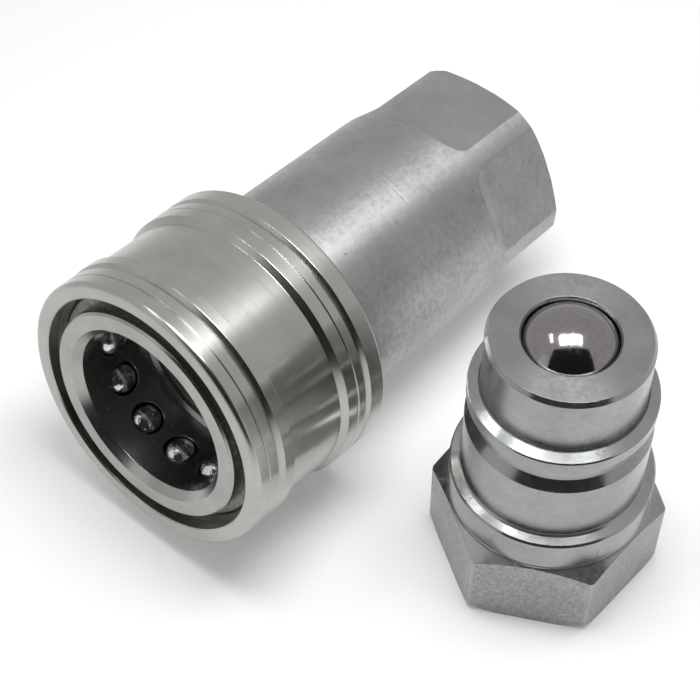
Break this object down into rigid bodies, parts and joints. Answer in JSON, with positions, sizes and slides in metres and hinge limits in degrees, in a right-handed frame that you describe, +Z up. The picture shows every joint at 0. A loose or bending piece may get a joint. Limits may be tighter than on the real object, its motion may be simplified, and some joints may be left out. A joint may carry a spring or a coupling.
{
  "type": "quick disconnect coupler",
  "caption": "Half-inch hydraulic quick disconnect: a ball-lock socket with a pull-back sleeve lying beside its hexagonal plug, both with ball check valves.",
  "frame": {"origin": "centre of the plug's port end, on the surface that the plug stands on", "axes": "+Z up along the plug's axis towards its nose; +X the level direction from the socket's mouth to its tail; the socket's axis dips 7.0 degrees from +X, because it lies on its sleeve and its tail"},
  "size_m": [0.0738, 0.076, 0.0454],
  "materials": {
    "body_steel": "turned and zinc plated, satin",
    "sleeve_steel": "turned and zinc plated, bright",
    "plug_steel": "turned and zinc plated, satin",
    "ball_steel": "polished hardened steel",
    "spring_steel": "drawn wire",
    "seal_rubber": "matt nitrile",
    "backup_plastic": "PTFE"
  },
  "bodies": {
    "socket": {"socket_body": "body_steel", "sleeve_stop_ring": "spring_steel", "sleeve_spring": "spring_steel", "nose_seal": "seal_rubber", "nose_backup_ring": "backup_plastic", "socket_valve_spring": "spring_steel", "socket_valve_guide": "body_steel", "socket_circlip": "spring_steel"},
    "sleeve": {"release_sleeve": "sleeve_steel"},
    "socket_valve": {"socket_valve_ball": "ball_steel"},
    "plug": {"plug_body": "plug_steel", "plug_valve_spring": "spring_steel", "plug_valve_guide": "body_steel", "plug_circlip": "spring_steel"},
    "plug_valve": {"plug_valve_ball": "ball_steel"},
    "locking_ball_01": {"locking_ball_01": "ball_steel"},
    "locking_ball_02": {"locking_ball_02": "ball_steel"},
    "locking_ball_03": {"locking_ball_03": "ball_steel"},
    "locking_ball_04": {"locking_ball_04": "ball_steel"},
    "locking_ball_05": {"locking_ball_05": "ball_steel"},
    "locking_ball_06": {"locking_ball_06": "ball_steel"},
    "locking_ball_07": {"locking_ball_07": "ball_steel"},
    "locking_ball_08": {"locking_ball_08": "ball_steel"},
    "locking_ball_09": {"locking_ball_09": "ball_steel"},
    "locking_ball_10": {"locking_ball_10": "ball_steel"},
    "locking_ball_11": {"locking_ball_11": "ball_steel"},
    "locking_ball_12": {"locking_ball_12": "ball_steel"}
  },
  "joints": [
    {"name": "sleeve_slide", "type": "slide", "parent": "socket", "child": "sleeve", "axis": [0.9926, 0, -0.1217], "range_m": [0, 0.006], "stiffness_N_per_m": 1500, "springref_m": -0.02, "deforming": ["sleeve_spring"]},
    {"name": "locking_ball_01_slide", "type": "slide", "parent": "socket", "child": "locking_ball_01", "axis": [0.1217, 0, 0.9926], "range_m": [0, 0.0009]},
    {"name": "locking_ball_02_slide", "type": "slide", "parent": "socket", "child": "locking_ball_02", "axis": [0.1054, 0.5, 0.8596], "range_m": [0, 0.0009]},
    {"name": "locking_ball_03_slide", "type": "slide", "parent": "socket", "child": "locking_ball_03", "axis": [0.0608, 0.866, 0.4963], "range_m": [0, 0.0009]},
    {"name": "locking_ball_04_slide", "type": "slide", "parent": "socket", "child": "locking_ball_04", "axis": [0, 1, 0], "range_m": [0, 0.0009]},
    {"name": "locking_ball_05_slide", "type": "slide", "parent": "socket", "child": "locking_ball_05", "axis": [-0.0608, 0.866, -0.4963], "range_m": [0, 0.0009]},
    {"name": "locking_ball_06_slide", "type": "slide", "parent": "socket", "child": "locking_ball_06", "axis": [-0.1054, 0.5, -0.8596], "range_m": [0, 0.0009]},
    {"name": "locking_ball_07_slide", "type": "slide", "parent": "socket", "child": "locking_ball_07", "axis": [-0.1217, 0, -0.9926], "range_m": [0, 0.0009]},
    {"name": "locking_ball_08_slide", "type": "slide", "parent": "socket", "child": "locking_ball_08", "axis": [-0.1054, -0.5, -0.8596], "range_m": [0, 0.0009]},
    {"name": "locking_ball_09_slide", "type": "slide", "parent": "socket", "child": "locking_ball_09", "axis": [-0.0608, -0.866, -0.4963], "range_m": [0, 0.0009]},
    {"name": "locking_ball_10_slide", "type": "slide", "parent": "socket", "child": "locking_ball_10", "axis": [0, -1, 0], "range_m": [0, 0.0009]},
    {"name": "locking_ball_11_slide", "type": "slide", "parent": "socket", "child": "locking_ball_11", "axis": [0.0608, -0.866, 0.4963], "range_m": [0, 0.0009]},
    {"name": "locking_ball_12_slide", "type": "slide", "parent": "socket", "child": "locking_ball_12", "axis": [0.1054, -0.5, 0.8596], "range_m": [0, 0.0009]},
    {"name": "socket_valve_slide", "type": "slide", "parent": "socket", "child": "socket_valve", "axis": [0.9926, 0, -0.1217], "range_m": [0, 0.0045], "stiffness_N_per_m": 2000, "springref_m": -0.008, "deforming": ["socket_valve_spring"]},
    {"name": "plug_lift", "type": "slide", "parent": "socket", "child": "plug", "axis": [0, 0, 1], "range_m": [0, 0.06]},
    {"name": "plug_valve_slide", "type": "slide", "parent": "plug", "child": "plug_valve", "axis": [0, 0, -1], "range_m": [0, 0.0035], "stiffness_N_per_m": 2000, "springref_m": -0.006, "deforming": ["plug_valve_spring"]}
  ],
  "couplings": [
    {"joint": "locking_ball_01_slide", "follows": "sleeve_slide", "ratio": 0.145},
    {"joint": "locking_ball_02_slide", "follows": "sleeve_slide", "ratio": 0.145},
    {"joint": "locking_ball_03_slide", "follows": "sleeve_slide", "ratio": 0.145},
    {"joint": "locking_ball_04_slide", "follows": "sleeve_slide", "ratio": 0.145},
    {"joint": "locking_ball_05_slide", "follows": "sleeve_slide", "ratio": 0.145},
    {"joint": "locking_ball_06_slide", "follows": "sleeve_slide", "ratio": 0.145},
    {"joint": "locking_ball_07_slide", "follows": "sleeve_slide", "ratio": 0.145},
    {"joint": "locking_ball_08_slide", "follows": "sleeve_slide", "ratio": 0.145},
    {"joint": "locking_ball_09_slide", "follows": "sleeve_slide", "ratio": 0.145},
    {"joint": "locking_ball_10_slide", "follows": "sleeve_slide", "ratio": 0.145},
    {"joint": "locking_ball_11_slide", "follows": "sleeve_slide", "ratio": 0.145},
    {"joint": "locking_ball_12_slide", "follows": "sleeve_slide", "ratio": 0.145}
  ]
}
